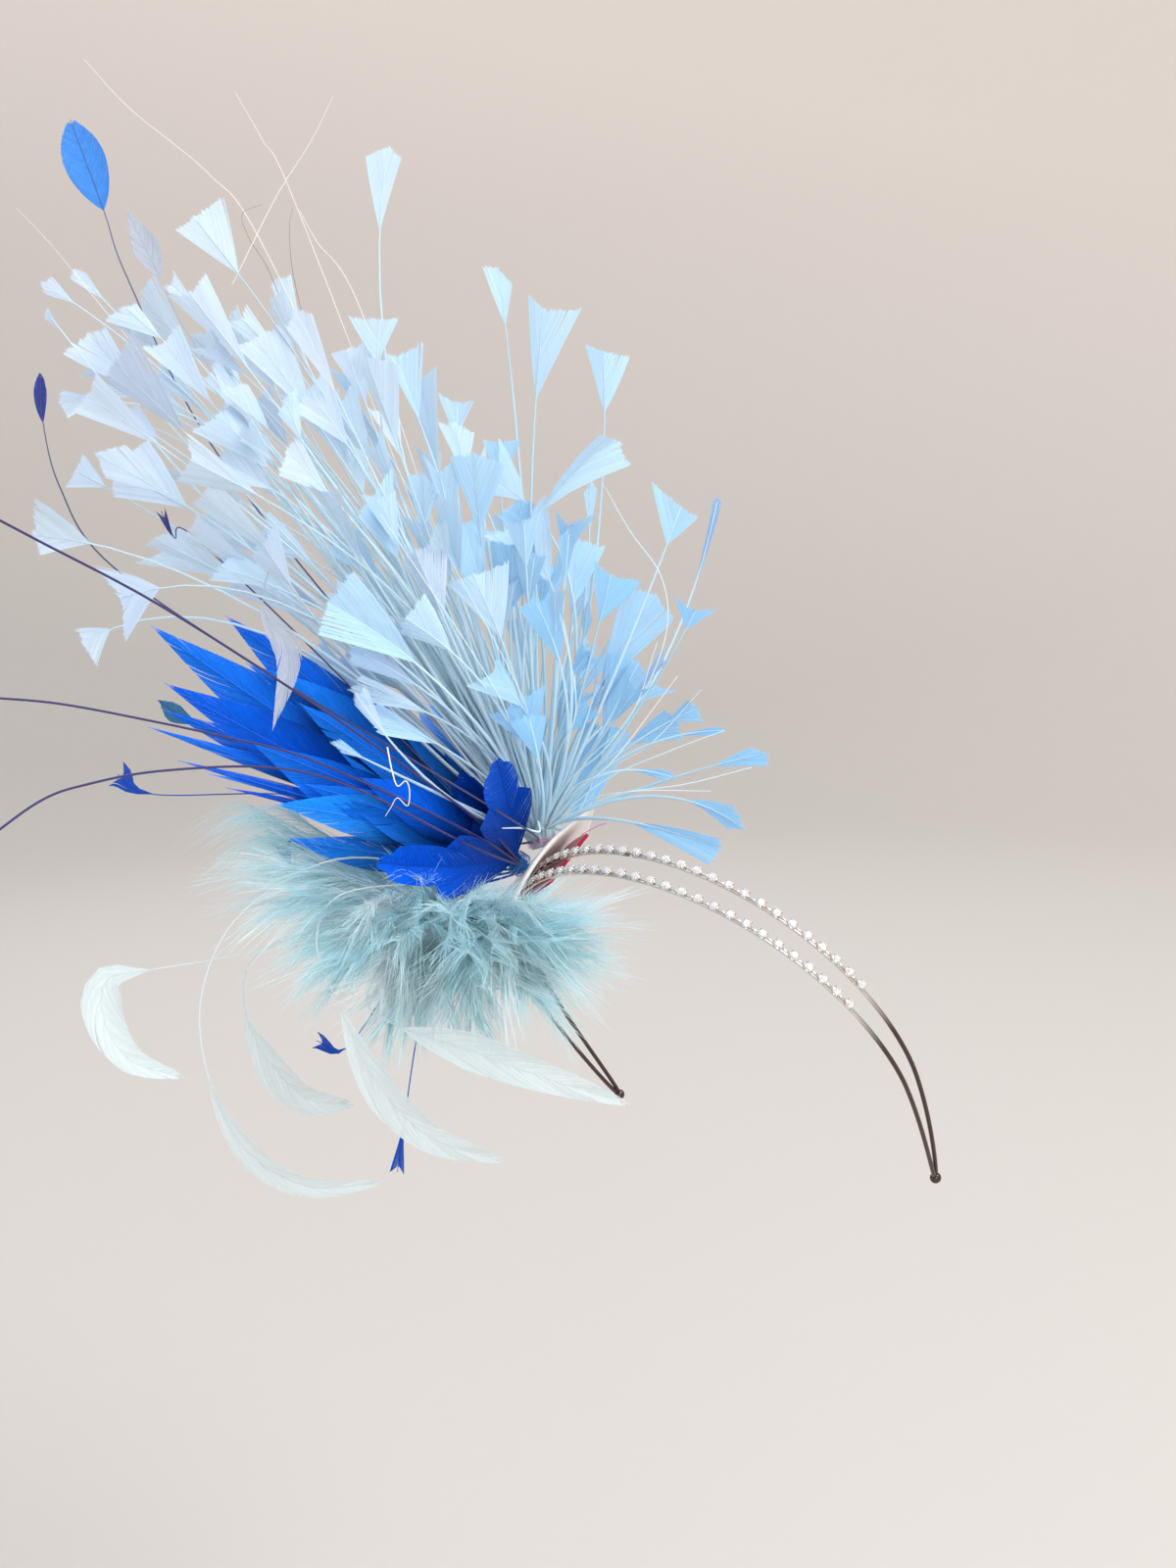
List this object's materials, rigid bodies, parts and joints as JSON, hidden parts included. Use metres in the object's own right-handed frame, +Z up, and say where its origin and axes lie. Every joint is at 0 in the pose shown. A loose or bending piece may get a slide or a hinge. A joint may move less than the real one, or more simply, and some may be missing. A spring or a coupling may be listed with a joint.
{
  "type": "feather fascinator",
  "caption": "Feather fascinator: a spray of pale and royal blue feathers and soft marabou on a small pad, worn on a slim wire headband set with cut stones.",
  "frame": {"origin": "top centre of the headband's arch, midway between its two wires, where it sits on the crown", "axes": "+Z up, the wearer faces -Y, the wearer's left is +X; the band's ends lean back towards +Y"},
  "size_m": [0.2466, 0.2377, 0.3297],
  "materials": {
    "silver_wire": "polished silver",
    "crystal": "clear cut stones in silver cups",
    "felt": "off-white stiff felt",
    "red_felt": "crimson felt",
    "sky_feather": "pale blue stripped feather",
    "marabou": "pale aqua down",
    "royal_feather": "royal blue feather with a soft sheen",
    "navy_feather": "navy feather",
    "grey_feather": "grey-blue feather",
    "pale_feather": "thin, nearly white aqua feather",
    "quill": "bare purple-navy quill"
  },
  "bodies": {
    "root": {"headband": "silver_wire", "crystal_row_front": "crystal", "crystal_row_rear": "crystal", "base_pad": "felt", "red_patch": "red_felt", "sky_plume": "sky_feather", "marabou_puff": "marabou", "royal_plume": "royal_feather", "spade_feather": "royal_feather", "royal_arrow_1": "royal_feather", "royal_arrow_2": "royal_feather", "royal_arrow_3": "royal_feather", "navy_tip": "navy_feather", "teal_tip": "navy_feather", "grey_leaf": "grey_feather", "grey_tip": "grey_feather", "drop_feather_1": "pale_feather", "drop_feather_2": "pale_feather", "drop_feather_3": "pale_feather", "drop_feather_4": "pale_feather", "drop_feather_5": "pale_feather", "quill_1": "quill", "quill_2": "quill", "quill_3": "quill"}
  },
  "joints": []
}
